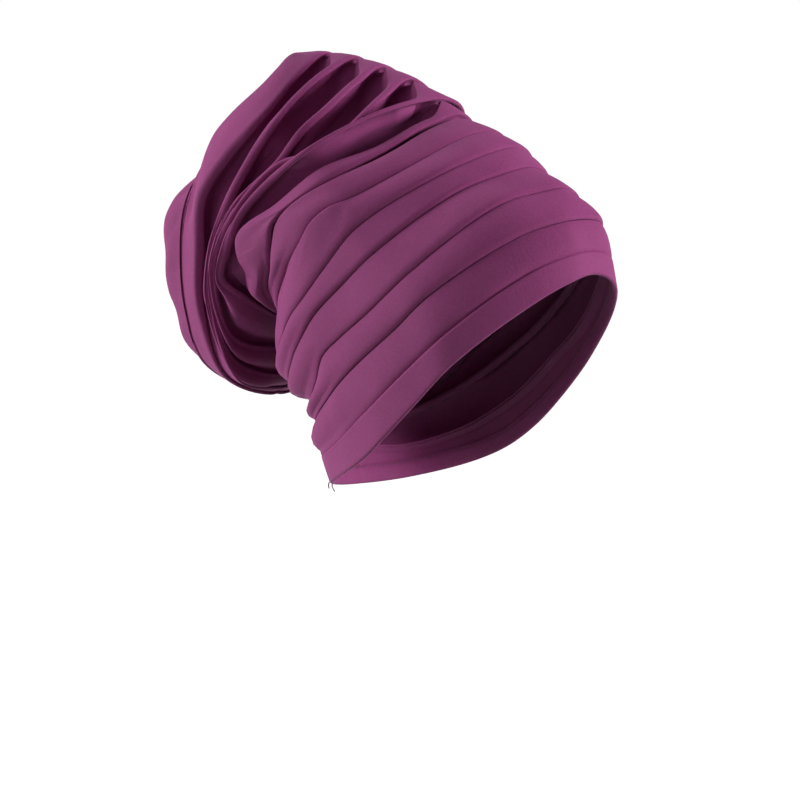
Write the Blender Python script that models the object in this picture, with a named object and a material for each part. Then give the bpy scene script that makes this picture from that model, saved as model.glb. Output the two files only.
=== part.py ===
# Turban cap: a brow band, a pleated crown and a gathered back bag of one stretch-knit head wrap.
# Metres, +Z up. The wearer looks along -Y, +X is the wearer's left side, and the origin is the
# centre of the head opening. The form is one family of fold lines round the cap. Each line
# starts on the mid-plane over the front or top, passes eight stations of one side, ends on the
# centre-back seam, and is mirrored for the other side.
import bpy
import numpy as np

MM = 0.001

# Cloth of the shell, in millimetres: its wall, how far its outer face stands over the fold
# lines, and the gap between neighbouring pieces.
WALL = 2.5
OUTER_FACE = 1.3
PIECE_GAP = 0.45

# Fold lines in millimetres as (out from the mid-plane, back from the origin, up).
# Columns: name, apex, parting, shoulder, flank, hip, knee, turn, rear, mouth, seam.
FOLD_LINES = (
    ("hem", (0, -91, 67), (17, -91, 64), (40, -80, 52), (72, -37, 12), (77, -13, -12),
     (78, 9, -32), (74, 28, -46), (66, 49, -56), (42, 80, -66), (0, 91, -69)),
    ("band_1", (0, -89, 81), (18, -88, 79), (40, -76, 70), (73, -34, 32), (77, -9, 11),
     (78, 18, -12), (74, 35, -24), (66, 54, -36), (42, 87, -49), (0, 96, -48)),
    ("band_2", (0, -84, 101), (18, -83, 100), (43, -67, 91), (75, -22, 55), (79, 3, 33),
     (79, 30, 13), (76, 45, 2), (70, 59, -8), (45, 90, -27), (0, 101, -30)),
    ("band_3", (0, -67, 120), (16, -63, 118), (43, -51, 110), (76, -8, 69), (80, 23, 43),
     (80, 48, 25), (77, 60, 16), (70, 70, 1), (50, 90, -14), (0, 107, -15)),
    ("band_4", (0, -43, 133), (20, -40, 130), (48, -23, 118), (77, 20, 80), (80, 43, 60),
     (80, 65, 41), (78, 75, 29), (72, 87, 16), (50, 107, -3), (0, 112, -4)),
    ("band_5", (0, -29, 145), (23, -26, 141), (50, -10, 128), (77, 34, 95), (81, 54, 72),
     (81, 72, 52), (78, 85, 40), (72, 95, 29), (52, 114, 13), (0, 116, 6)),
    ("band_6", (0, -11, 155), (24, -7, 150), (51, 10, 134), (76, 42, 113), (80, 54, 107),
     (82, 64, 99), (81, 74, 86), (76, 89, 71), (56, 113, 44), (0, 120, 16)),
    ("band_7", (0, 9, 163), (25, 12, 157), (52, 26, 141), (75, 54, 123), (80, 75, 112),
     (82, 91, 99), (80, 97, 86), (76, 102, 72), (60, 117, 56), (0, 124, 26)),
    ("roll_7", (0, 13, 166), (25, 21, 160), (52, 36, 144), (75, 62, 131), (80, 95, 109),
     (81, 125, 88), (79, 123, 75), (74, 115, 68), (62, 120, 57), (0, 130, 35)),
    ("fold_8", (0, 28, 176), (25, 32, 173), (51, 47, 163), (76, 70, 145), (78, 102, 125),
     (80, 125, 103), (78, 139, 81), (74, 145, 62), (52, 144, 50), (0, 138, 34)),
    ("fold_9", (0, 52, 189), (26, 52, 178), (48, 59, 160), (63, 73, 142), (69, 97, 137),
     (73, 125, 115), (73, 144, 90), (69, 155, 65), (50, 154, 23), (0, 143, 18)),
    ("fold_10", (0, 74, 197), (26, 74, 187), (48, 80, 170), (62, 89, 156), (64, 106, 137),
     (69, 138, 109), (67, 154, 84), (63, 161, 54), (47, 155, 8), (0, 147, 3)),
    ("fold_11", (0, 96, 203), (26, 100, 193), (48, 108, 175), (63, 115, 156), (62, 131, 138),
     (65, 148, 110), (62, 163, 80), (58, 167, 41), (44, 156, -5), (0, 152, -9)),
    ("fold_12", (0, 119, 206), (26, 121, 194), (48, 127, 172), (62, 135, 156), (66, 150, 140),
     (67, 169, 115), (65, 173, 83), (61, 174, 41), (42, 170, -2), (0, 160, -13)),
    ("edge", (0, 140, 205), (22, 134, 202), (38, 141, 186), (48, 160, 166), (50, 173, 151),
     (63, 176, 112), (62, 179, 81), (58, 180, 40), (41, 176, 1), (0, 166, -12)),
    ("panel", (0, 172, 168), (14, 172, 168), (28, 174, 161), (42, 179, 147), (53, 181, 134),
     (60, 182, 109), (60, 185, 79), (56, 185, 40), (40, 181, 5), (0, 171, -10)),
    ("notch", (0, 197, 139), (14, 196, 138), (28, 194, 133), (42, 188, 124), (54, 183, 122),
     (58, 187, 106), (57, 191, 78), (53, 190, 40), (39, 186, 8), (0, 175, -8)),
    ("lobe", (0, 222, 119), (14, 221, 116), (31, 216, 114), (43, 211, 111), (49, 213, 98),
     (49, 212, 77), (48, 212, 59), (44, 207, 42), (36, 206, 22), (0, 192, 8)),
    ("tail", (0, 224, 90), (6, 224, 89), (11, 223, 86), (15, 223, 80), (17, 223, 74),
     (18, 222, 66), (17, 221, 58), (13, 219, 50), (8, 217, 46), (0, 216, 45)),
)
STATIONS = 10

# Folds in millimetres, one row per band above each line.
# Columns: kind, then depth of the fold's valley at the ten stations. The valley of a pleat lies
# on its line, the valley of a roll lies behind its line, and a plain band has none.
FOLDS = {
    "hem": ("plain", (0, 0, 0, 0, 0, 0, 0, 0, 0, 0)),
    "band_1": ("pleat", (2, 2, 2, 2, 2, 2, 2, 2, 2, 1)),
    "band_2": ("pleat", (2, 2, 2, 2, 2, 2, 2, 2, 2, 1)),
    "band_3": ("pleat", (2, 2, 2, 2, 2, 2, 2, 2, 2, 1)),
    "band_4": ("pleat", (2, 2, 2, 2, 2, 2, 2, 2, 2, 1)),
    "band_5": ("pleat", (2, 2, 2, 2, 3, 3, 3, 2, 2, 1)),
    "band_6": ("pleat", (2, 2, 3, 4, 4, 4, 4, 4, 3, 1)),
    "band_7": ("pleat", (2, 4, 6, 6, 6, 6, 5, 5, 3, 1)),
    "roll_7": ("roll", (2, 7, 9, 9, 8, 6, 5, 4, 2, 1)),
    "fold_8": ("roll", (2, 6, 7, 6, 5, 4, 3, 2, 1, 1)),
    "fold_9": ("roll", (2, 6, 7, 7, 5, 4, 3, 2, 1, 1)),
    "fold_10": ("roll", (2, 6, 7, 7, 7, 5, 4, 2, 1, 1)),
    "fold_11": ("roll", (1, 5, 7, 7, 7, 5, 4, 2, 1, 1)),
    "fold_12": ("plain", (0, 0, 0, 0, 0, 0, 0, 0, 0, 0)),
    "edge": ("plain", (0, 0, 0, 0, 0, 0, 0, 0, 0, 0)),
    "panel": ("plain", (0, 0, 0, 0, 0, 0, 0, 0, 0, 0)),
    "notch": ("pleat", (3, 3, 3, 3, 2, 1, 0, 0, 0, 0)),
    "lobe": ("plain", (0, 0, 0, 0, 0, 0, 0, 0, 0, 0)),
}

# Strips of a band. Columns: place as a share of the band's width, share of the fold's depth.
STRIPS = {
    "pleat": ((0.0, 1.0), (0.22, 0.0), (0.5, 0.0), (0.8, 0.1)),
    "roll": ((0.0, 0.0), (0.28, 1.0), (0.5, 0.6), (0.78, 0.15)),
}
PLAIN_CUTS = {"hem": 2, "fold_12": 3, "edge": 2, "panel": 2, "lobe": 3}
# Cuts between neighbouring stations along each line.
STATION_CUTS = (2, 2, 3, 3, 2, 2, 2, 3, 3)

# Pieces: name, line and strip where it starts, line and strip where it ends, colour of the cloth.
PIECES = (
    ("brow_band", ("hem", 0), ("band_1", 0), (0.159, 0.034, 0.118, 1.0)),
    ("pleated_crown", ("band_1", 0), ("roll_7", 1), (0.165, 0.036, 0.122, 1.0)),
    ("back_bag", ("roll_7", 1), ("tail", 0), (0.171, 0.038, 0.126, 1.0)),
)


def clear_scene():
    for thing in list(bpy.data.objects):
        bpy.data.objects.remove(thing, do_unlink=True)


def through(knots, where, ends=None):
    """Smooth curve through knots along axis 0, read at the float positions in where."""
    knots = np.asarray(knots, float)
    where = np.atleast_1d(np.asarray(where, float))
    span = np.linalg.norm(np.diff(knots, axis=0), axis=-1, keepdims=True) + 1e-6
    slope = np.diff(knots, axis=0) / span
    lean = np.empty_like(knots)
    lean[1:-1] = (slope[:-1] + slope[1:]) / 2
    lean[0] = slope[0] if ends is None else ends[0]
    lean[-1] = slope[-1] if ends is None else ends[1]
    cell = np.minimum(where.astype(int), len(knots) - 2)
    part = (where - cell).reshape((-1,) + (1,) * (knots.ndim - 1))
    square, cube = part ** 2, part ** 3
    start = (2 * cube - 3 * square + 1) * knots[cell] + (cube - 2 * square + part) * span[cell] * lean[cell]
    finish = (3 * square - 2 * cube) * knots[cell + 1] + (cube - square) * span[cell] * lean[cell + 1]
    return start + finish


def station_positions():
    steps = [k + c / n for k, n in enumerate(STATION_CUTS) for c in range(n)]
    return np.array(steps + [STATIONS - 1.0])


def control_net():
    """Points of the near side (negative X) with their outward directions."""
    net = np.array([[(-p[0], p[1], p[2]) for p in row[1:]] for row in FOLD_LINES], float)
    across = np.empty_like(net)
    across[:, 1:-1] = net[:, 2:] - net[:, :-2]
    across[:, 0] = (-1.0, 0.0, 0.0)
    across[:, -1] = (1.0, 0.0, 0.0)
    upward = np.empty_like(net)
    upward[1:-1] = net[2:] - net[:-2]
    upward[0] = net[1] - net[0]
    upward[-1] = net[-1] - net[-2]
    out = np.cross(upward, across)
    out /= np.linalg.norm(out, axis=-1, keepdims=True)
    for _ in range(2):
        out[1:-1] = (out[:-2] + 2 * out[1:-1] + out[2:]) / 4
        out[:, 1:-1] = (out[:, :-2] + 2 * out[:, 1:-1] + out[:, 2:]) / 4
        out /= np.linalg.norm(out, axis=-1, keepdims=True)
    return net, out


def lines_across(net, out, steps):
    """Every fold line of the near side read at the given positions between the stations."""
    leave, arrive = np.array([-1.0, 0, 0]), np.array([1.0, 0, 0])
    points = np.array([through(row, steps, (leave, arrive)) for row in net])
    normals = np.array([through(row, steps) for row in out])
    return points, normals


def band_strips(name):
    kind = FOLDS[name][0]
    if kind == "plain":
        cuts = PLAIN_CUTS[name]
        return [(c / cuts, 0.0) for c in range(cuts)]
    return list(STRIPS[kind])


def form_rows(points, normals, steps):
    """Every row of the whole form as (line name, strip number, base points, outward, height)."""
    rows = []
    for band, line in enumerate(FOLD_LINES[:-1]):
        depth = np.interp(steps, range(STATIONS), FOLDS[line[0]][1])
        for strip, (share, part) in enumerate(band_strips(line[0])):
            base = through(points, [band + share])[0]
            out = through(normals, [band + share])[0]
            out /= np.linalg.norm(out, axis=-1, keepdims=True)
            rows.append((line[0], strip, base, out, -depth * part))
    rows.append((FOLD_LINES[-1][0], 0, points[-1], normals[-1], np.zeros(len(steps))))
    return rows


def piece_rows(rows, first, last):
    """The rows of one piece from its first row to its last, stopped short of its neighbours."""
    places = [row[:2] for row in rows]
    taken = rows[places.index(first):places.index(last) + 1]
    base = np.array([row[2] for row in taken])
    if first != places[0]:
        base[0] += toward(base[0], base[1]) * PIECE_GAP / 2
    if last != places[-1]:
        base[-1] += toward(base[-1], base[-2]) * PIECE_GAP / 2
    return base, np.array([row[3] for row in taken]), np.array([row[4] for row in taken])


def toward(here, there):
    way = there - here
    return way / (np.linalg.norm(way, axis=-1, keepdims=True) + 1e-9)


def mirrored(rows):
    """Close each half line of the near side with its mirror image of the far side."""
    far = rows[:, -2:0:-1] * np.array([-1.0, 1.0, 1.0])
    return np.concatenate([rows, far], axis=1)


def shell_faces(rows, columns, capped):
    """Quads of the outer skin, inner skin, the rims, and the closed end if there is one."""
    inner = rows * columns
    faces = []
    for r in range(rows - 1):
        for c in range(columns):
            a, b = r * columns + c, r * columns + (c + 1) % columns
            d, e = a + columns, b + columns
            faces += [(b, a, d, e), (inner + a, inner + b, inner + e, inner + d)]
    for c in range(columns):
        n = (c + 1) % columns
        faces.append((c, n, inner + n, inner + c))
        if not capped:
            top = (rows - 1) * columns
            faces.append((top + n, top + c, inner + top + c, inner + top + n))
    if capped:
        faces += closed_end((rows - 1) * columns, columns, True)
        faces += closed_end(inner + (rows - 1) * columns, columns, False)
    return faces


def closed_end(start, columns, turned):
    """Strip of quads that closes the last loop from one side to the mirrored side."""
    half = columns // 2
    faces = []
    for c in range(half):
        near, near_next = start + c, start + c + 1
        far, far_next = start + (columns - c) % columns, start + columns - c - 1
        corners = [near, near_next, far_next, far]
        corners = [v for k, v in enumerate(corners) if v not in corners[:k]]
        faces.append(tuple(reversed(corners)) if turned else tuple(corners))
    return faces


def cloth_material(name, colour):
    material = bpy.data.materials.new(name + "_cloth")
    material.use_nodes = True
    shader = material.node_tree.nodes["Principled BSDF"]
    shader.inputs["Base Color"].default_value = colour
    shader.inputs["Roughness"].default_value = 0.85
    return material


def build_piece(name, first, last, colour, form):
    base, out, height = piece_rows(form, first, last)
    outer = mirrored(base + out * (height[..., None] + OUTER_FACE))
    inner = mirrored(base + out * (height[..., None] + OUTER_FACE - WALL))
    rows, columns = outer.shape[:2]
    corners = np.concatenate([outer.reshape(-1, 3), inner.reshape(-1, 3)]) * MM
    mesh = bpy.data.meshes.new(name)
    mesh.from_pydata(corners.tolist(), [], shell_faces(rows, columns, last == ("tail", 0)))
    mesh.validate()
    thing = bpy.data.objects.new(name, mesh)
    mesh.materials.append(cloth_material(name, colour))
    bpy.context.scene.collection.objects.link(thing)
    return thing


def build():
    clear_scene()
    steps = station_positions()
    net, out = control_net()
    points, normals = lines_across(net, out, steps)
    form = form_rows(points, normals, steps)
    for name, first, last, colour in PIECES:
        build_piece(name, first, last, colour, form)


build()
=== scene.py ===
# Turban cap in its worn form: plain brow band, swept pleats over the crown, gathered bag behind.
# Metres, +Z up. The brow faces -Y and +X is the cap's left side.
import math

import bpy
import numpy as np
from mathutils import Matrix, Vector


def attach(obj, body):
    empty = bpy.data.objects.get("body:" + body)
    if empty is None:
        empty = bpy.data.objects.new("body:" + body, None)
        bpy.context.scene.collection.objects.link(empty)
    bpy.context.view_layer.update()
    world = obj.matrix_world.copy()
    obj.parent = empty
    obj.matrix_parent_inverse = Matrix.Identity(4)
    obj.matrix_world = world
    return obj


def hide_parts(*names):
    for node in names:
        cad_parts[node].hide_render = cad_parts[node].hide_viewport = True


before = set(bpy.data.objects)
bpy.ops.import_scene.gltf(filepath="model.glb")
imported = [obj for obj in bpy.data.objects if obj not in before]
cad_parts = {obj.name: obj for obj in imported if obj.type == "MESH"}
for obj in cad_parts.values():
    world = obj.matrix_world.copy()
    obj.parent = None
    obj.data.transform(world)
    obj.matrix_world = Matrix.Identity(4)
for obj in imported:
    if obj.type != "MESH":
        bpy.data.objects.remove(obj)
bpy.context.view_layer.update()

# Camera.
# A long lens at brow height, 52 degrees round to the cap's right and 3 degrees above level,
# aimed so that the cap sits in the upper left of a square frame 0.5 m wide.
SIGHT_TURN = math.radians(52)
SIGHT_DROP = math.radians(3)
SIGHT_DISTANCE = 2.6
FRAME_WIDTH = 0.5
SENSOR_WIDTH = 36
AIM_ACROSS, AIM_UP = -0.04625, -0.0125

sight = Vector((
    math.sin(SIGHT_TURN) * math.cos(SIGHT_DROP),
    math.cos(SIGHT_TURN) * math.cos(SIGHT_DROP),
    -math.sin(SIGHT_DROP),
))
sight_right = Vector((math.cos(SIGHT_TURN), -math.sin(SIGHT_TURN), 0))
sight_up = sight_right.cross(sight)
lens = bpy.data.cameras.new("camera")
lens.sensor_width = SENSOR_WIDTH
lens.lens = SENSOR_WIDTH * SIGHT_DISTANCE / FRAME_WIDTH
lens.clip_end = 20
camera = bpy.data.objects.new("camera", lens)
camera.location = sight_right * AIM_ACROSS + sight_up * AIM_UP - sight * SIGHT_DISTANCE
camera.rotation_euler = sight.to_track_quat("-Z", "Y").to_euler()
bpy.context.scene.collection.objects.link(camera)
bpy.context.scene.camera = camera


# Studio.
# A pale seamless floor well below the cap, a white surround that fills the shadows only weakly,
# and four large soft lights aimed at the middle of the cap.
CAP_MIDDLE = Vector((0.0, 0.06, 0.07))


def place_softbox(name, where, size, watts):
    glow = bpy.data.lights.new(name, "AREA")
    glow.energy = watts
    glow.size = size
    box = bpy.data.objects.new(name, glow)
    box.location = where
    box.rotation_euler = (CAP_MIDDLE - Vector(where)).to_track_quat("-Z", "Y").to_euler()
    bpy.context.scene.collection.objects.link(box)


def make_floor(drop, reach):
    mesh = bpy.data.meshes.new("studio_floor")
    corners = [(x * reach, y * reach, -drop) for x, y in ((-1, -1), (1, -1), (1, 1), (-1, 1))]
    mesh.from_pydata(corners, [], [(0, 1, 2, 3)])
    floor = bpy.data.objects.new("studio_floor", mesh)
    paint = bpy.data.materials.new("pale_floor_paint")
    paint.use_nodes = True
    shader = paint.node_tree.nodes["Principled BSDF"]
    shader.inputs["Base Color"].default_value = (0.9, 0.9, 0.9, 1)
    shader.inputs["Roughness"].default_value = 0.9
    shader.inputs["Emission Color"].default_value = (1, 1, 1, 1)
    shader.inputs["Emission Strength"].default_value = 1.0
    mesh.materials.append(paint)
    bpy.context.scene.collection.objects.link(floor)
    floor.visible_diffuse = False


make_floor(drop=0.45, reach=30.0)

# The surround is white to the eye, and as a light it is a little stronger above than below.
FILL_BELOW, FILL_ABOVE = 0.03, 0.07
surround = bpy.data.worlds.new("studio_surround")
surround.use_nodes = True
world_tree = surround.node_tree
towards = world_tree.nodes.new("ShaderNodeTexCoord")
parts = world_tree.nodes.new("ShaderNodeSeparateXYZ")
fill = world_tree.nodes.new("ShaderNodeMapRange")
fill.inputs["From Min"].default_value = -0.5
fill.inputs["From Max"].default_value = 0.5
fill.inputs["To Min"].default_value = FILL_BELOW
fill.inputs["To Max"].default_value = FILL_ABOVE
whose_ray = world_tree.nodes.new("ShaderNodeLightPath")
seen_white = world_tree.nodes.new("ShaderNodeMix")
seen_white.inputs["B"].default_value = 1.0
world_tree.links.new(towards.outputs["Generated"], parts.inputs["Vector"])
world_tree.links.new(parts.outputs["Z"], fill.inputs["Value"])
world_tree.links.new(whose_ray.outputs["Is Camera Ray"], seen_white.inputs["Factor"])
world_tree.links.new(fill.outputs["Result"], seen_white.inputs["A"])
world_tree.links.new(seen_white.outputs["Result"], world_tree.nodes["Background"].inputs["Strength"])
world_tree.nodes["Background"].inputs["Color"].default_value = (1, 1, 1, 1)
bpy.context.scene.world = surround

# Columns: name, place and size in metres, power in watts.
SOFTBOXES = (
    ("right_softbox", (1.0, -2.3, 0.8), 0.9, 88),
    ("left_softbox", (-1.6, 2.3, 0.35), 0.9, 72),
    ("top_softbox", (-0.1, 1.1, 2.2), 0.8, 24),
    ("low_softbox", (-2.3, 0.0, -0.3), 0.8, 14),
)
for name, where, size, watts in SOFTBOXES:
    place_softbox(name, where, size, watts)
bpy.context.scene.view_settings.view_transform = "Standard"

# Brow band.
# The plain lowest band of the wrap: one layer of fine stretch knit turned under at the hem,
# held by its own stretch from the brow over the temples to the nape. The fold lines of the
# whole wrap start here, at its hem.
MM = 0.001
CLOTH_THICK = 1.3

# Fold lines of the whole wrap in millimetres as (out from the mid-plane, back, up). Each starts
# on the mid-plane over the front or top and ends on the centre-back seam.
STATIONS = ("apex", "parting", "shoulder", "flank", "hip", "knee", "turn", "rear", "mouth", "seam")
FOLD_LINES = (
    ("hem", (0, -91, 67), (17, -91, 64), (40, -80, 52), (72, -37, 12), (77, -13, -12),
     (78, 9, -32), (74, 28, -46), (66, 49, -56), (42, 80, -66), (0, 91, -69)),
    ("c1", (0, -89, 81), (18, -88, 79), (40, -76, 70), (73, -34, 32), (77, -9, 11),
     (78, 18, -12), (74, 35, -24), (66, 54, -36), (42, 87, -49), (0, 96, -48)),
    ("c2", (0, -84, 101), (18, -83, 100), (43, -67, 91), (75, -22, 55), (79, 3, 33),
     (79, 30, 13), (76, 45, 2), (70, 59, -8), (45, 90, -27), (0, 101, -30)),
    ("c3", (0, -67, 120), (16, -63, 118), (43, -51, 110), (76, -8, 69), (80, 23, 43),
     (80, 48, 25), (77, 60, 16), (70, 70, 1), (50, 90, -14), (0, 107, -15)),
    ("c4", (0, -43, 133), (20, -40, 130), (48, -23, 118), (77, 20, 80), (80, 43, 60),
     (80, 65, 41), (78, 75, 29), (72, 87, 16), (50, 107, -3), (0, 112, -4)),
    ("c5", (0, -29, 145), (23, -26, 141), (50, -10, 128), (77, 34, 95), (81, 54, 72),
     (81, 72, 52), (78, 85, 40), (72, 95, 29), (52, 114, 13), (0, 116, 6)),
    ("c6", (0, -11, 155), (24, -7, 150), (51, 10, 134), (76, 42, 113), (80, 54, 107),
     (82, 64, 99), (81, 74, 86), (76, 89, 71), (56, 113, 44), (0, 120, 16)),
    ("c7", (0, 9, 163), (25, 12, 157), (52, 26, 141), (75, 54, 123), (80, 75, 112),
     (82, 91, 99), (80, 97, 86), (76, 102, 72), (60, 117, 56), (0, 124, 26)),
    ("r7", (0, 13, 166), (25, 21, 160), (52, 36, 144), (75, 62, 131), (80, 95, 109),
     (81, 125, 88), (79, 123, 75), (74, 115, 68), (62, 120, 57), (0, 130, 35)),
    ("r8", (0, 28, 176), (25, 32, 173), (51, 47, 163), (76, 70, 145), (78, 102, 125),
     (80, 125, 103), (78, 139, 81), (74, 145, 62), (58, 139, 50), (0, 138, 34)),
    ("r9", (0, 52, 189), (26, 52, 178), (48, 59, 160), (63, 73, 142), (69, 97, 137),
     (73, 125, 115), (73, 144, 90), (69, 155, 65), (57, 149, 24), (0, 143, 18)),
    ("r10", (0, 74, 197), (26, 74, 187), (48, 80, 170), (62, 89, 156), (64, 106, 137),
     (69, 138, 109), (67, 154, 84), (63, 161, 54), (54, 150, 9), (0, 145, -1)),
    ("r11", (0, 96, 203), (26, 100, 193), (48, 108, 175), (63, 115, 156), (62, 131, 138),
     (65, 148, 110), (62, 163, 80), (58, 167, 41), (52, 150, -1), (0, 152, -9)),
    ("r12", (0, 119, 206), (26, 121, 194), (48, 127, 172), (62, 135, 156), (66, 150, 140),
     (67, 169, 115), (65, 173, 83), (61, 174, 41), (47, 166, 1), (0, 160, -13)),
    ("edge", (0, 140, 205), (22, 134, 202), (38, 141, 186), (48, 160, 166), (50, 173, 151),
     (63, 176, 112), (62, 179, 81), (58, 180, 40), (41, 176, 3), (0, 166, -12)),
    ("panel", (0, 172, 168), (14, 172, 168), (28, 174, 161), (42, 179, 147), (53, 181, 134),
     (60, 182, 109), (60, 185, 79), (56, 185, 40), (40, 181, 5), (0, 171, -10)),
    ("notch", (0, 197, 139), (14, 196, 138), (28, 194, 133), (42, 188, 124), (54, 183, 122),
     (58, 187, 106), (57, 191, 78), (53, 190, 40), (39, 186, 8), (0, 175, -8)),
    ("lobe", (0, 222, 119), (14, 221, 116), (31, 216, 114), (43, 211, 111), (49, 213, 98),
     (49, 212, 77), (48, 212, 59), (44, 207, 42), (36, 206, 22), (0, 192, 8)),
    ("tail", (0, 224, 90), (6, 224, 89), (11, 223, 86), (15, 223, 80), (17, 223, 74),
     (18, 222, 66), (17, 221, 58), (13, 219, 50), (8, 217, 46), (0, 216, 45)),
)
LINE = {row[0]: k for k, row in enumerate(FOLD_LINES)}

# The rolled lip of a pressed pleat at the ten stations, in millimetres: how far it runs up the
# cloth and how high it stands. BACK_ROUND is the round at the back of a fold.
LIP_ROLL = (2, 3.5, 5, 5.5, 5.5, 5.5, 5, 4.5, 3.5, 2)
LIP_HEIGHT = (1.4, 2.2, 2.7, 2.9, 2.8, 2.5, 1.9, 1.2, 0.6, 0.4)
BACK_ROUND = (0.4, 2, 2.3, 2.3, 2.3, 2.3, 2.5, 2.5, 2, 1)

# Folds at the same ten stations. Columns: name, rim where the band below ends, valley and crest,
# all as places counted in fold lines, then front round, valley depth and front height in
# millimetres. One number serves all stations. A pleat has None for its rim, crest and front
# round: its band below ends SLOT before the valley and its lip rolls up over LIP_ROLL.
FOLDS = (
    ("c1", None, 1, None, None, 7, LIP_HEIGHT),
    ("c2", None, 2, None, None, 7, LIP_HEIGHT),
    ("c3", None, 3, None, None, 7, LIP_HEIGHT),
    ("c4", None, 4, None, None, 7, LIP_HEIGHT),
    ("c5", None, 5, None, None, (7, 7, 7, 7, 7, 7, 7, 7, 6, 4), LIP_HEIGHT),
    ("c6", None, 6,
     (6.12, 6.15, 6.25, 6.4, 6.45, 6.45, 6.4, 6.4, 6.5, 6.5),
     None,
     (4, 4, 5, 6, 7, 7, 7, 6, 4, 2),
     (1, 1, 1.5, 3, 4, 4, 4, 3, 2, 1)),
    ("r7", None,
     (7, 7.25, 7.25, 7.12, 7.08, 7.05, 7.05, 7.1, 7.1, 7.2),
     (7.9, 7.9, 7.8, 7.5, 7.3, 7.2, 7.2, 7.3, 7.5, 7.6),
     (1, 3, 3, 4, 4, 3, 3, 3, 2, 1),
     (3, 14, 16, 11, 7, 6, 6, 6, 4, 2),
     (1, 2, 2.5, 3.5, 4, 3, 3, 3, 2, 1)),
    ("r8",
     (8.9, 8.1, 8.08, 8.08, 8.06, 8.04, 8.1, 8.3, 8.7, 8.7),
     (9, 8.75, 8.75, 8.7, 8.6, 8.4, 8.5, 8.6, 8.85, 8.85),
     9,
     (1.5, 2, 2, 2.5, 3.5, 4, 4, 3, 2, 1),
     (3, 26, 34, 34, 26, 16, 12, 10, 9, 4),
     (1.2, 1.5, 1.5, 2, 3, 4, 4, 3, 2, 1)),
    ("r9",
     (9.9, 9.1, 9.08, 9.08, 9.06, 9.04, 9, 9.2, 9.7, 9.7),
     (10, 9.75, 9.75, 9.7, 9.6, 9.5, 9.5, 9.6, 9.85, 9.85),
     10,
     (1.5, 3, 3, 3, 3, 3, 3, 3, 2, 1),
     (3, 24, 30, 26, 17, 11, 9, 9, 9, 4),
     (1.2, 2, 2, 2.5, 3, 3, 3, 3, 2, 1)),
    ("r10",
     (10.9, 10.1, 10.08, 10.08, 10.06, 10.04, 10, 10.2, 10.7, 10.7),
     (11, 10.75, 10.75, 10.7, 10.6, 10.5, 10.5, 10.6, 10.85, 10.85),
     11,
     (1.5, 3, 3, 3, 3, 3, 3, 3, 2, 1),
     (3, 24, 32, 28, 17, 11, 9, 9, 9, 4),
     (1.2, 2, 2, 2.5, 3, 3, 3, 3, 2, 1)),
    ("r11",
     (11.9, 11.1, 11.08, 11.08, 11.06, 11.04, 11, 11.2, 11.7, 11.7),
     (12, 11.75, 11.75, 11.7, 11.6, 11.5, 11.5, 11.6, 11.85, 11.85),
     12,
     (1.5, 3, 3, 3, 3, 3, 3, 3, 2, 1),
     (3, 24, 32, 32, 26, 16, 11, 9, 8, 4),
     (1.2, 2, 2, 2.5, 3, 4, 4, 3, 2, 1)),
    ("r12",
     (12.9, 12.1, 12.08, 12.08, 12.06, 12.04, 12, 12, 12.1, 12.2),
     (13, 12.75, 12.75, 12.7, 12.6, 12.5, 12.5, 12.5, 12.5, 12.5),
     13,
     (1.5, 3, 4, 5, 5, 5, 4, 3, 2, 1),
     (2, 16, 26, 28, 26, 20, 12, 6, 3, 2),
     (1, 2, 3, 4, 4, 4, 4, 3, 2, 1)),
    ("notch", None, 16, 16.3, None,
     (4, 4, 4, 3, 1, 0.3, 0, 0, 0, 0),
     (2, 2, 2, 1.5, 0.5, 0.1, 0, 0, 0, 0)),
)


def through(knots, where, ends=None):
    """Smooth curve through knots along axis 0, read at the float positions in where."""
    knots = np.asarray(knots, float)
    where = np.atleast_1d(np.asarray(where, float))
    # The tiny length keeps knots that meet from dividing by zero.
    span = np.linalg.norm(np.diff(knots, axis=0), axis=-1, keepdims=True) + 1e-6
    slope = np.diff(knots, axis=0) / span
    lean = np.empty_like(knots)
    lean[1:-1] = (slope[:-1] + slope[1:]) / 2
    lean[0] = slope[0] if ends is None else ends[0]
    lean[-1] = slope[-1] if ends is None else ends[1]
    cell = np.clip(where.astype(int), 0, len(knots) - 2)
    part = (where - cell).reshape((-1,) + (1,) * (knots.ndim - 1))
    square, cube = part ** 2, part ** 3
    start = (2 * cube - 3 * square + 1) * knots[cell]
    start = start + (cube - 2 * square + part) * span[cell] * lean[cell]
    finish = (3 * square - 2 * cube) * knots[cell + 1]
    finish = finish + (cube - square) * span[cell] * lean[cell + 1]
    return start + finish


# Columns of cloth on the near side. They run closer together from knee to mouth, where the folds
# turn sharply, and a station counts for a little travel even where the lines meet.
COLUMNS, FINE_STEPS, STATION_TRAVEL = 146, 400, 0.35
CLOSER_AT, CLOSER_BY = (0, 4, 5, 8, 9), (1, 1, 1.6, 1.6, 1)


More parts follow.
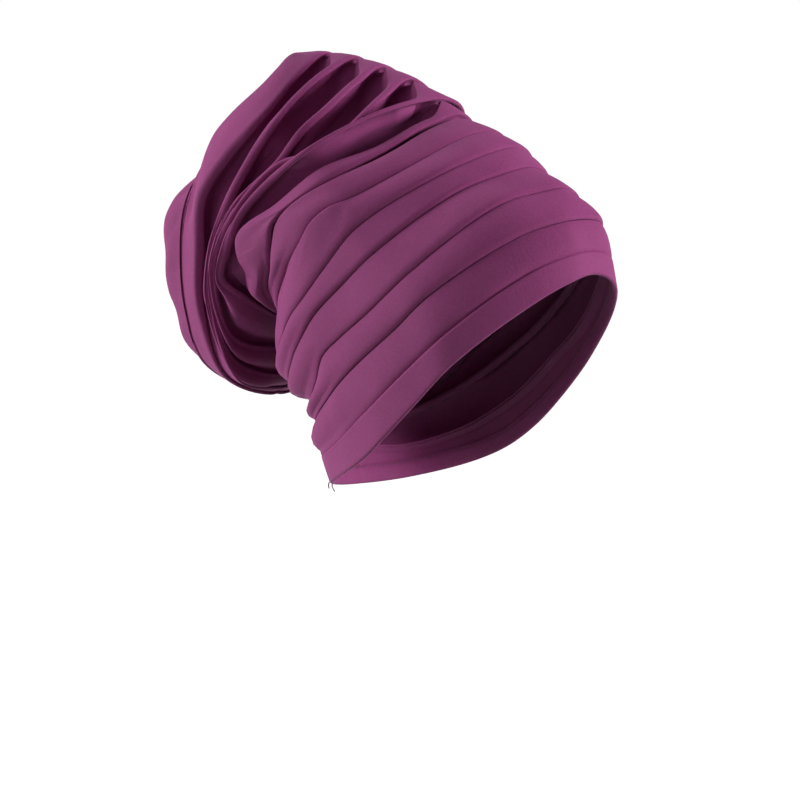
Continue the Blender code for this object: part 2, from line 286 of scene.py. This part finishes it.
def wrap_form():
    """Where the columns run, and base points and outward directions of every fold line there."""
    net = np.array([[(-p[0], p[1], p[2]) for p in row[1:]] for row in FOLD_LINES], float)
    across, upward = np.empty_like(net), np.empty_like(net)
    across[:, 1:-1] = net[:, 2:] - net[:, :-2]
    across[:, 0], across[:, -1] = (-1.0, 0.0, 0.0), (1.0, 0.0, 0.0)
    upward[1:-1] = net[2:] - net[:-2]
    upward[0], upward[-1] = net[1] - net[0], net[-1] - net[-2]
    out = np.cross(upward, across)
    out /= np.linalg.norm(out, axis=-1, keepdims=True)
    # Two passes even out the directions between neighbouring lines and stations.
    for _ in range(2):
        out[1:-1] = (out[:-2] + 2 * out[1:-1] + out[2:]) / 4
        out[:, 1:-1] = (out[:, :-2] + 2 * out[:, 1:-1] + out[:, 2:]) / 4
        out /= np.linalg.norm(out, axis=-1, keepdims=True)
    fine = np.linspace(0, len(STATIONS) - 1, FINE_STEPS)
    ends = (np.array([-1.0, 0, 0]), np.array([1.0, 0, 0]))
    lines = np.array([through(row, fine, ends) for row in net])
    travel = np.linalg.norm(np.diff(lines, axis=1), axis=-1).mean(axis=0) + STATION_TRAVEL
    travel *= np.interp(fine[1:], CLOSER_AT, CLOSER_BY)
    travelled = np.concatenate([[0], np.cumsum(travel)]) / travel.sum()
    steps = np.interp(np.linspace(0, 1, COLUMNS), travelled, fine)
    points = np.array([through(row, steps, ends) for row in net])
    outward = np.array([through(row, steps) for row in out])
    return steps, points, outward


column_steps, form_points, form_outward = wrap_form()

# A fold's settings for the first two stations hold close to the mid-plane, because the folds
# start there in a short length, and EASE columns on each side even them out.
SETTINGS_AT = (0.1, 0.5, 2, 3, 4, 5, 6, 7, 8, 9)
EASE = 3


def eased(value):
    """A setting given for all stations or for each, read at every column."""
    value = np.broadcast_to(np.asarray(value, float), (len(STATIONS),))
    value = np.interp(column_steps, SETTINGS_AT, value)
    window = np.ones(2 * EASE + 1) / (2 * EASE + 1)
    return np.convolve(np.pad(value, EASE, mode="edge"), window, "valid")


def read_lines(net, place):
    """A net of fold lines read where each column's place in fold lines is given."""
    return np.stack([through(net[:, k], [place[k]])[0] for k in range(COLUMNS)])


# Spacing is measured from this far before a place to this far after it, counted in fold lines.
SPACING_REACH = 0.4


def line_spacing(place):
    """Local distance between neighbouring fold lines, in millimetres, at a place on each column."""
    ahead = read_lines(form_points, place + SPACING_REACH)
    behind = read_lines(form_points, place - SPACING_REACH)
    return np.linalg.norm(ahead - behind, axis=-1) / (2 * SPACING_REACH)


def share_of(value, low, high):
    """How far a value has gone from low to high, from 0 to 1."""
    return np.clip((value - low) / (high - low), 0, 1)


# A pressed pleat in millimetres: the slot in front of its rolled lip, how far the lip stands out
# over the valley, how far its cloth is tucked back, how far the band below has sunk where it
# passes under the lip, and the bead of a band whose own edge is the rim.
SLOT, LIP_FRONT, TUCK_BACK, PASS_UNDER, RIM_BEAD = 0.8, 0.2, 2.0, 2.0, 0.7
# A lip is pressed flat as its height goes from the first of these to the second.
FREE_HEIGHT, PRESSED_HEIGHT = 3.8, 2.8
# No lip is higher than this share of its valley's depth.
MOST_HEIGHT = 0.8


def fold_settings(fold):
    """Rim, valley, front and crest places, depth, front height, line spacing and pressing."""
    _, rim, valley, crest, front_round, depth, height = FOLDS[fold]
    valley = eased(valley)
    spacing = line_spacing(valley)
    depth = eased(depth)
    height = eased(height)
    pressing = share_of(height, FREE_HEIGHT, PRESSED_HEIGHT)
    if rim is None:
        rim = valley - SLOT / spacing
    else:
        rim = eased(rim)
    front = valley - LIP_FRONT / spacing
    if crest is None:
        crest = front + eased(LIP_ROLL) / spacing
    else:
        crest = eased(crest)
    if front_round is not None:
        front = crest - eased(front_round) / spacing
    height = np.minimum(height, depth * MOST_HEIGHT)
    return rim, valley, front, crest, depth, height, spacing, pressing


# A fold hangs over its valley as its depth and its spacing go through these ranges. Its cloth is
# then tucked back and its neck drawn in further, by these extra millimetres.
HANG_DEPTH, HANG_SPACING = (6, 14), (8, 14)
HUNG_TUCK, HUNG_NECK = 4, 4.6
# Underside of a hung lip from its root to its front, as millimetres back and down. One that
# doesn't hang goes straight down, by a share of its depth, and its neck is NECK back.
UNDERSIDE = ((5.5, 5.0), (4.0, 2.4), (2.0, 1.8), (0.5, 1.0))
NECK, STRAIGHT_DROP = 0.9, 0.45
# Where the lip's root lies between neck and tuck, and how deep, both as shares.
ROOT_BACK, ROOT_DEPTH = 0.4, 0.8
FRONT_TURNS = 6


def rise_rows(fold):
    """Front side of a fold from inside its valley to its crest, as (place, height) rows."""
    _, valley, front, crest, depth, height, spacing, _ = fold_settings(fold)
    hung = share_of(depth, *HANG_DEPTH) * share_of(spacing, *HANG_SPACING)
    back = np.maximum(valley, front) + (TUCK_BACK + HUNG_TUCK * hung) / spacing
    neck = front + (NECK + HUNG_NECK * hung) / spacing
    root = back * ROOT_BACK + neck * (1 - ROOT_BACK)
    rows = [((valley + back) / 2, -depth)]
    rows.append((root, -depth * ROOT_DEPTH - height * (1 - ROOT_DEPTH)))
    for k, (aft, down) in enumerate(UNDERSIDE):
        share = 1 - k / len(UNDERSIDE)
        shift = (1 - hung) * NECK * share + hung * aft
        drop = (1 - hung) * STRAIGHT_DROP * (depth - height) * share + hung * down
        rows.append((front + shift / spacing, -height - drop))
    for k in range(FRONT_TURNS + 1):
        turn = math.pi / 2 * k / FRONT_TURNS
        rows.append((front + (crest - front) * (1 - math.cos(turn)), -height * (1 - math.sin(turn))))
    return rows


# Back of a fold: where its body gets rows, how far the body of a full fold swells at each
# station in millimetres, and the range of valley depth over which it does.
BODY_SHARES = (0.08, 0.3, 0.55, 0.82)
SWELL = (0, 0, 0, 0, 0, 0, 1, 3, 6, 4)
SWELL_DEPTH = (4, 8)
# The round at its rim: turns, most of the depth that it takes, its size where it is pressed and
# the most in front of a pleat, and how much of it lies in front of the rim.
BACK_TURNS, BACK_MOST, BACK_PRESSED, BACK_AT_PLEAT, BACK_BEFORE = 4, 0.4, 0.3, 1.0, 0.3
# Its wall slants more where the lines are close. Share of the depth and of the way to the valley
# for each of two rows, at no slant and added at full slant.
SLANT_SPACING, LEAST_SLANT = (21, 13), 0.15
WALL_ROWS = ((0.5, 0.0, 0.5), (0.92, 0.4, 0.45))
# The body is never shorter than this, counted in fold lines.
LEAST_BODY = 0.02


def fall_rows(fold):
    """Back of a fold from just behind its crest to the floor of the next valley."""
    crest = fold_settings(fold)[3]
    rim, valley, _, _, depth, next_height, spacing, pressing = fold_settings(fold + 1)
    before_pleat = FOLDS[fold + 1][1] is None
    back_round = np.minimum(eased(BACK_ROUND), depth * BACK_MOST) * (1 - pressing)
    back_round = back_round + BACK_PRESSED * pressing
    if before_pleat:
        back_round = np.minimum(back_round, BACK_AT_PLEAT)
    start = np.maximum(rim - BACK_BEFORE * back_round / spacing, crest + LEAST_BODY)
    bead = RIM_BEAD * (1 - pressing) if before_pleat else 0 * pressing
    sunk = np.minimum(PASS_UNDER, next_height * MOST_HEIGHT) * pressing
    top = bead - sunk
    swell = eased(SWELL) * share_of(depth, *SWELL_DEPTH)
    rows = []
    for share in BODY_SHARES:
        bulge = swell * (1 - (2 * share - 1) ** 2)
        rows.append((crest + (start - crest) * share, bulge + bead * share ** 3 - sunk * share ** 2))
    for k in range(BACK_TURNS + 1):
        turn = math.pi / 2 * k / BACK_TURNS
        place = start + back_round * math.sin(turn) / spacing
        rows.append((place, top - back_round * (1 - math.cos(turn))))
    edge = start + back_round / spacing
    floor = np.maximum(valley, edge)
    slant = np.maximum(share_of(spacing, *SLANT_SPACING), LEAST_SLANT)
    for down, on, on_slanted in WALL_ROWS:
        place = edge + (floor - edge) * (on + on_slanted * slant)
        rows.append((place, top - back_round - (depth + top - back_round) * down))
    return rows


# Creases and soft swells that follow no pleat, where the cloth was pulled or sat on itself.
# Columns: from line, from station, to line, to station, width and height in millimetres. For a
# crease a fold line is taken as LINE_STEP mm from the next, and a station as STATION_STEP mm.
CREASES = (
    (4.5, 1.5, 4.4, 3.5, 6, -0.6),
    (5.5, 1.0, 5.6, 3.0, 5, 0.5),
    (3.4, 2.6, 3.3, 5.0, 6, -0.6),
    (2.5, 4.0, 2.4, 6.5, 6, 0.5),
    (6.6, 1.2, 6.8, 3.2, 5, 0.6),
    (7.3, 4.6, 7.7, 5.6, 3, -1.0),
    (8.4, 7.3, 8.8, 8.0, 3, -1.4),
    (9.4, 7.4, 9.7, 8.2, 3, -1.4),
    (10.4, 7.5, 10.8, 8.3, 3, -1.4),
    (11.3, 7.8, 11.6, 8.5, 3, 1.6),
    (14.5, 1.4, 14.6, 5.0, 8, -4.0),
    (15.2, 3.0, 15.6, 7.0, 8, -0.9),
    (17.3, 2.0, 17.2, 6.0, 9, -0.9),
)
LINE_STEP, STATION_STEP = 16, 26


def crease_height(place):
    """Height of every crease at a place on each column, in millimetres."""
    up = place * LINE_STEP
    across = column_steps * STATION_STEP
    total = np.zeros(COLUMNS)
    for from_line, from_station, to_line, to_station, width, rise in CREASES:
        start = np.array([from_line * LINE_STEP, from_station * STATION_STEP])
        run = np.array([to_line * LINE_STEP, to_station * STATION_STEP]) - start
        along = np.clip(((up - start[0]) * run[0] + (across - start[1]) * run[1]) / (run @ run), 0, 1)
        away = np.hypot(up - start[0] - along * run[0], across - start[1] - along * run[1])
        total += rise * np.exp(-(away / width) ** 2)
    return total


# The last two columns dip by this many millimetres into the centre-back seam.
SEAM_DIP = (0.25, 0.8)


def cloth_rows(rows):
    """Skin points of a list of (place, height) rows on the near side."""
    skin = []
    for place, height in rows:
        base = read_lines(form_points, place)
        out = read_lines(form_outward, place)
        out = out / np.linalg.norm(out, axis=-1, keepdims=True)
        height = height + crease_height(place)
        height[-2:] -= SEAM_DIP
        skin.append(base + out * (height + CLOTH_THICK)[:, None])
    return np.array(skin)


def whole_loops(rows):
    """Closed loops of the given rows: the near side and its mirror image on the far side."""
    skin = cloth_rows(rows)
    far = skin[:, -2:0:-1] * np.array([-1.0, 1.0, 1.0])
    return np.concatenate([skin, far], axis=1)


def cloth_mesh(name, loops, capped=False):
    """One skin of quads through closed loops, thickened inwards afterwards."""
    rows, columns = loops.shape[:2]
    faces = []
    for r in range(rows - 1):
        for c in range(columns):
            n = (c + 1) % columns
            below = r * columns
            above = (r + 1) * columns
            faces.append((below + n, below + c, above + c, above + n))
    if capped:
        last = (rows - 1) * columns
        for c in range(columns // 2):
            across = columns - c
            corners = [last + c + 1, last + c, last + across % columns, last + across - 1]
            corners = [v for k, v in enumerate(corners) if v not in corners[:k]]
            faces.append(tuple(corners))
    mesh = bpy.data.meshes.new(name)
    mesh.from_pydata((loops.reshape(-1, 3) * MM).tolist(), [], faces)
    mesh.validate()
    mesh.polygons.foreach_set("use_smooth", [True] * len(mesh.polygons))
    piece = bpy.data.objects.new(name, mesh)
    bpy.context.scene.collection.objects.link(piece)
    wall = piece.modifiers.new("cloth_thickness", "SOLIDIFY")
    wall.thickness = CLOTH_THICK * MM
    wall.offset = -1
    return piece


def node(tree, kind, links=(), **settings):
    """Add one node, wire (output, input) pairs into it, and set in_0 as the value of input 0."""
    made = tree.nodes.new(kind)
    for key, value in settings.items():
        if key.startswith("in_"):
            made.inputs[int(key[3:])].default_value = value
        else:
            setattr(made, key, value)
    for source, socket in links:
        tree.links.new(source, made.inputs[socket])
    return made


def linear(code):
    """sRGB hex to linear colour."""
    parts = [int(code[k:k + 2], 16) / 255 for k in (1, 3, 5)]
    return tuple(p / 12.92 if p <= 0.04045 else ((p + 0.055) / 1.055) ** 2.4 for p in parts) + (1.0,)


def brushed_knit(name, code, worn_code):
    """Brushed polyester stretch knit, dyed in the piece, with a short nap raised on its face."""
    cloth = bpy.data.materials.new(name)
    cloth.use_nodes = True
    tree = cloth.node_tree
    shader = tree.nodes["Principled BSDF"]
    place = node(tree, "ShaderNodeTexCoord").outputs["Object"]
    # The nap stands in clumps about 1.5 mm wide: a faint mottling and a soft, uneven grain.
    nap = node(tree, "ShaderNodeTexNoise", [(place, "Vector")])
    nap.inputs["Scale"].default_value = 650
    nap.inputs["Detail"].default_value = 4
    nap.inputs["Roughness"].default_value = 0.6
    # Where hands have brushed the nap the other way, patches some 40 mm wide look paler.
    brushed = node(tree, "ShaderNodeTexNoise", [(place, "Vector")])
    brushed.inputs["Scale"].default_value = 24
    brushed.inputs["Detail"].default_value = 2
    both = node(tree, "ShaderNodeMath", operation="ADD",
                links=[(nap.outputs["Fac"], 0), (brushed.outputs["Fac"], 1)])
    worn = node(tree, "ShaderNodeMapRange", [(both.outputs[0], "Value")])
    worn.inputs["From Min"].default_value = 0.7
    worn.inputs["From Max"].default_value = 1.3
    shade = node(tree, "ShaderNodeMix", [(worn.outputs["Result"], "Factor")], data_type="RGBA")
    shade.inputs["A"].default_value = linear(code)
    shade.inputs["B"].default_value = linear(worn_code)
    # Knit ribs are 0.5 mm apart in the real cloth, too fine to show, and are drawn 2 mm apart.
    ribs = node(tree, "ShaderNodeTexWave", [(place, "Vector")], bands_direction="X")
    ribs.inputs["Scale"].default_value = 160
    ribs.inputs["Distortion"].default_value = 1.5
    ribs.inputs["Detail"].default_value = 1
    ribs_bump = node(tree, "ShaderNodeBump", [(ribs.outputs["Fac"], "Height")])
    ribs_bump.inputs["Strength"].default_value = 0.06
    ribs_bump.inputs["Distance"].default_value = 0.0003
    nap_bump = node(tree, "ShaderNodeBump",
                    [(nap.outputs["Fac"], "Height"), (ribs_bump.outputs["Normal"], "Normal")])
    nap_bump.inputs["Strength"].default_value = 0.35
    nap_bump.inputs["Distance"].default_value = 0.0006
    tree.links.new(shade.outputs["Result"], shader.inputs["Base Color"])
    tree.links.new(nap_bump.outputs["Normal"], shader.inputs["Normal"])
    shader.inputs["Roughness"].default_value = 0.8
    shader.inputs["Specular IOR Level"].default_value = 0.25
    shader.inputs["Sheen Weight"].default_value = 0.13
    shader.inputs["Sheen Roughness"].default_value = 0.45
    shader.inputs["Sheen Tint"].default_value = linear("#cf9ccb")
    return cloth


wrap_cloth = brushed_knit("brushed_stretch_knit", "#7f2f64", "#8c3a70")


def plain_rows(first, last, count):
    """Evenly spaced rows with no fold, between two places in fold lines."""
    return [(np.full(COLUMNS, place), np.zeros(COLUMNS)) for place in np.linspace(first, last, count)]


# The hem is turned up 12 mm inside: the cloth runs round a bend and up again behind itself.
HEM_TURN, HEM_GAP, HEM_ARC = 12, 0.3, 6
# Where the hem's line spacing is read, and the plain rows of the band, counted in fold lines.
HEM_PLACE = 0.4
BAND_LOW, BAND_HIGH, BAND_ROWS = 0.15, 0.985, 12
hem_bend = CLOTH_THICK + HEM_GAP / 2
hem_spacing = line_spacing(np.full(COLUMNS, HEM_PLACE))
brow_rows = []
for share in (1, 0.6, 0.3):
    brow_rows.append((HEM_TURN * share / hem_spacing, np.full(COLUMNS, -2 * hem_bend)))
for k in range(HEM_ARC + 1):
    turn = math.pi * k / HEM_ARC
    place = hem_bend * (1 - math.sin(turn)) / hem_spacing
    brow_rows.append((place, np.full(COLUMNS, -hem_bend * (1 + math.cos(turn)))))
brow_rows += plain_rows(BAND_LOW, BAND_HIGH, BAND_ROWS)
brow_rows += rise_rows(0)[:1]
brow_band = cloth_mesh("brow_band_cloth", whole_loops(brow_rows))
brow_band.data.materials.append(wrap_cloth)
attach(brow_band, "root")
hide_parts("brow_band")

# Hem stitches.
# One row of polyester thread that holds the turned hem, sewn from the inside in stitches 3 mm
# long, with two cut thread ends left hanging at the nape.
STITCH_UP, STITCH_IN, STITCH_PITCH, STITCH_LENGTH, THREAD = 10.5, 0.12, 4.0, 3.0, 0.5


def closed_line(name, points):
    """A closed chain of edges through the points, which the stitches follow."""
    count = len(points)
    edges = [(k, (k + 1) % count) for k in range(count)]
    mesh = bpy.data.meshes.new(name)
    mesh.from_pydata((np.asarray(points) * MM).tolist(), edges, [])
    piece = bpy.data.objects.new(name, mesh)
    bpy.context.scene.collection.objects.link(piece)
    return piece


def thread_material(name, code):
    """Spun polyester sewing thread: fine twisted fibres, slightly glossier than the cloth."""
    thread = bpy.data.materials.new(name)
    thread.use_nodes = True
    tree = thread.node_tree
    shader = tree.nodes["Principled BSDF"]
    place = node(tree, "ShaderNodeTexCoord").outputs["Object"]
    # The two plies twist about every 0.8 mm, too fine to show, and their slanting ridges are
    # drawn about 1.8 mm apart.
    twist = node(tree, "ShaderNodeTexWave", [(place, "Vector")], bands_direction="DIAGONAL")
    twist.inputs["Scale"].default_value = 200
    ridges = node(tree, "ShaderNodeBump", [(twist.outputs["Fac"], "Height")])
    ridges.inputs["Strength"].default_value = 0.5
    ridges.inputs["Distance"].default_value = 0.0001
    tree.links.new(ridges.outputs["Normal"], shader.inputs["Normal"])
    shader.inputs["Base Color"].default_value = linear(code)
    shader.inputs["Roughness"].default_value = 0.55
    return thread


STITCH_INPUTS = (
    ("Geometry", "NodeSocketGeometry"),
    ("Pitch", "NodeSocketFloat"),
    ("Length", "NodeSocketFloat"),
    ("Thread", "NodeSocketFloat"),
    ("Seed", "NodeSocketInt"),
)


def stitch_tree(material):
    """Rounded stitches set along a line of edges, each as long and as thick as the inputs say."""
    tree = bpy.data.node_groups.new("stitches_along_hem", "GeometryNodeTree")
    sockets = {}
    for name, kind in STITCH_INPUTS:
        made = tree.interface.new_socket(name, in_out="INPUT", socket_type=kind)
        sockets[name] = made.identifier
    tree.interface.new_socket("Geometry", in_out="OUTPUT", socket_type="NodeSocketGeometry")
    given = tree.nodes.new("NodeGroupInput").outputs
    curve = node(tree, "GeometryNodeMeshToCurve", [(given["Geometry"], "Mesh")])
    spaced = node(tree, "GeometryNodeResampleCurve", mode="LENGTH",
                  links=[(curve.outputs["Curve"], "Curve"), (given["Pitch"], "Length")])
    ball = node(tree, "GeometryNodeMeshUVSphere", in_0=8, in_1=6, in_2=0.5)
    # Hand-guided stitches vary in length by some 10 per cent.
    uneven = node(tree, "FunctionNodeRandomValue", [(given["Seed"], "Seed")], data_type="FLOAT")
    uneven.inputs[2].default_value = 0.85
    uneven.inputs[3].default_value = 1.1
    long = node(tree, "ShaderNodeMath", operation="MULTIPLY",
                links=[(given["Length"], 0), (uneven.outputs[1], 1)])
    size = node(tree, "ShaderNodeCombineXYZ",
                [(given["Thread"], 0), (given["Thread"], 1), (long.outputs[0], 2)])
    tangent = node(tree, "GeometryNodeInputTangent")
    facing = node(tree, "FunctionNodeAlignRotationToVector", axis="Z",
                  links=[(tangent.outputs["Tangent"], "Vector")])
    set_out = node(tree, "GeometryNodeInstanceOnPoints",
                   [(spaced.outputs["Curve"], "Points"), (ball.outputs["Mesh"], "Instance"),
                    (facing.outputs["Rotation"], "Rotation"), (size.outputs["Vector"], "Scale")])
    real = node(tree, "GeometryNodeRealizeInstances", [(set_out.outputs["Instances"], "Geometry")])
    dressed = node(tree, "GeometryNodeSetMaterial", [(real.outputs["Geometry"], "Geometry")])
    dressed.inputs["Material"].default_value = material
    result = tree.nodes.new("NodeGroupOutput")
    tree.links.new(dressed.outputs["Geometry"], result.inputs["Geometry"])
    return tree, sockets


sewing_thread = thread_material("polyester_thread", "#58213f")
stitch_row = (STITCH_UP / hem_spacing, np.full(COLUMNS, -2 * hem_bend - STITCH_IN))
hem_stitches = closed_line("hem_stitches", whole_loops([stitch_row])[0])
hem_tree, hem_sockets = stitch_tree(sewing_thread)
sewing = hem_stitches.modifiers.new("stitches", "NODES")
sewing.node_group = hem_tree
sewing[hem_sockets["Pitch"]] = STITCH_PITCH * MM
sewing[hem_sockets["Length"]] = STITCH_LENGTH * MM
sewing[hem_sockets["Thread"]] = THREAD * MM
sewing[hem_sockets["Seed"]] = 4
sewn_hem = hem_stitches.evaluated_get(bpy.context.evaluated_depsgraph_get())
sewn = bpy.data.meshes.new_from_object(sewn_hem)
hem_stitches.modifiers.remove(sewing)
hem_stitches.data = sewn
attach(hem_stitches, "root")

# Thread ends.
# The two cut ends of that polyester thread, 6 and 4 mm long, hang free below the hem at the
# nape. They are too fine to show, and are drawn 0.8 mm thick.
END_THICK, END_SIDES, END_RINGS = 0.8, 6, 7
# How far above the hem's edge they start, and how wide and how often they bend on the way down.
END_TOP, END_WAVE, END_WAVES = 0.8, 0.6, 4
# Columns: name, how far aside it starts, its length and its sway, in millimetres.
THREAD_ENDS = (
    ("long_thread_end", 0.0, 6.0, 1.6),
    ("short_thread_end", 2.6, 4.0, -1.0),
)
nape = int(np.argmin(abs(column_steps - STATIONS.index("mouth"))))
hem_edge = (np.zeros(COLUMNS), np.full(COLUMNS, -hem_bend))
hem_low = cloth_rows([hem_edge])[0][nape]
for name, aside, length, sway in THREAD_ENDS:
    rings = []
    for k in range(END_RINGS):
        share = k / (END_RINGS - 1)
        wave = END_WAVE * math.sin(END_WAVES * share)
        middle = hem_low + np.array([sway * share ** 2, aside + wave, END_TOP - length * share])
        for m in range(END_SIDES):
            turn = 2 * math.pi * m / END_SIDES
            rings.append(middle + END_THICK / 2 * np.array([math.cos(turn), math.sin(turn), 0]))
    last = (END_RINGS - 1) * END_SIDES
    faces = [tuple(range(END_SIDES)), tuple(range(last, last + END_SIDES))[::-1]]
    for k in range(END_RINGS - 1):
        upper = k * END_SIDES
        lower = upper + END_SIDES
        for m in range(END_SIDES):
            n = (m + 1) % END_SIDES
            faces.append((upper + n, upper + m, lower + m, lower + n))
    mesh = bpy.data.meshes.new(name)
    mesh.from_pydata((np.array(rings) * MM).tolist(), [], faces)
    mesh.polygons.foreach_set("use_smooth", [True] * len(mesh.polygons))
    mesh.materials.append(sewing_thread)
    end = bpy.data.objects.new(name, mesh)
    bpy.context.scene.collection.objects.link(end)
    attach(end, "root")

# Pleated crown.
# The swept pleats of the same cloth, pressed and laid upwards so that each upper pleat's rolled
# lower edge covers the top of the one below, and turned down at the sides to the nape.
LAST_CROWN_FOLD = [fold[0] for fold in FOLDS].index("r7")

crown_rows = []
for fold in range(LAST_CROWN_FOLD + 1):
    crown_rows += rise_rows(fold)
    crown_rows += fall_rows(fold)
crown_rows += rise_rows(LAST_CROWN_FOLD + 1)[:1]
pleated_crown = cloth_mesh("pleated_crown_cloth", whole_loops(crown_rows))
pleated_crown.data.materials.append(wrap_cloth)
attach(pleated_crown, "root")
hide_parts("pleated_crown")

# Back bag.
# The rest of the cloth, gathered into five deep folds over the top and round the pocket at each
# side, and drawn together at the centre-back seam into a full smooth bag.
LOBE_FOLD = len(FOLDS) - 1
LOBE_CREST, LOBE_ROWS = FOLDS[LOBE_FOLD][3], 22

bag_rows = []
for fold in range(LAST_CROWN_FOLD + 1, LOBE_FOLD):
    bag_rows += rise_rows(fold)
    bag_rows += fall_rows(fold)
bag_rows += rise_rows(LOBE_FOLD)
bag_rows += plain_rows(LOBE_CREST, LINE["tail"], LOBE_ROWS)[1:]
back_bag = cloth_mesh("back_bag_cloth", whole_loops(bag_rows), capped=True)
back_bag.data.materials.append(wrap_cloth)
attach(back_bag, "root")
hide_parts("back_bag")
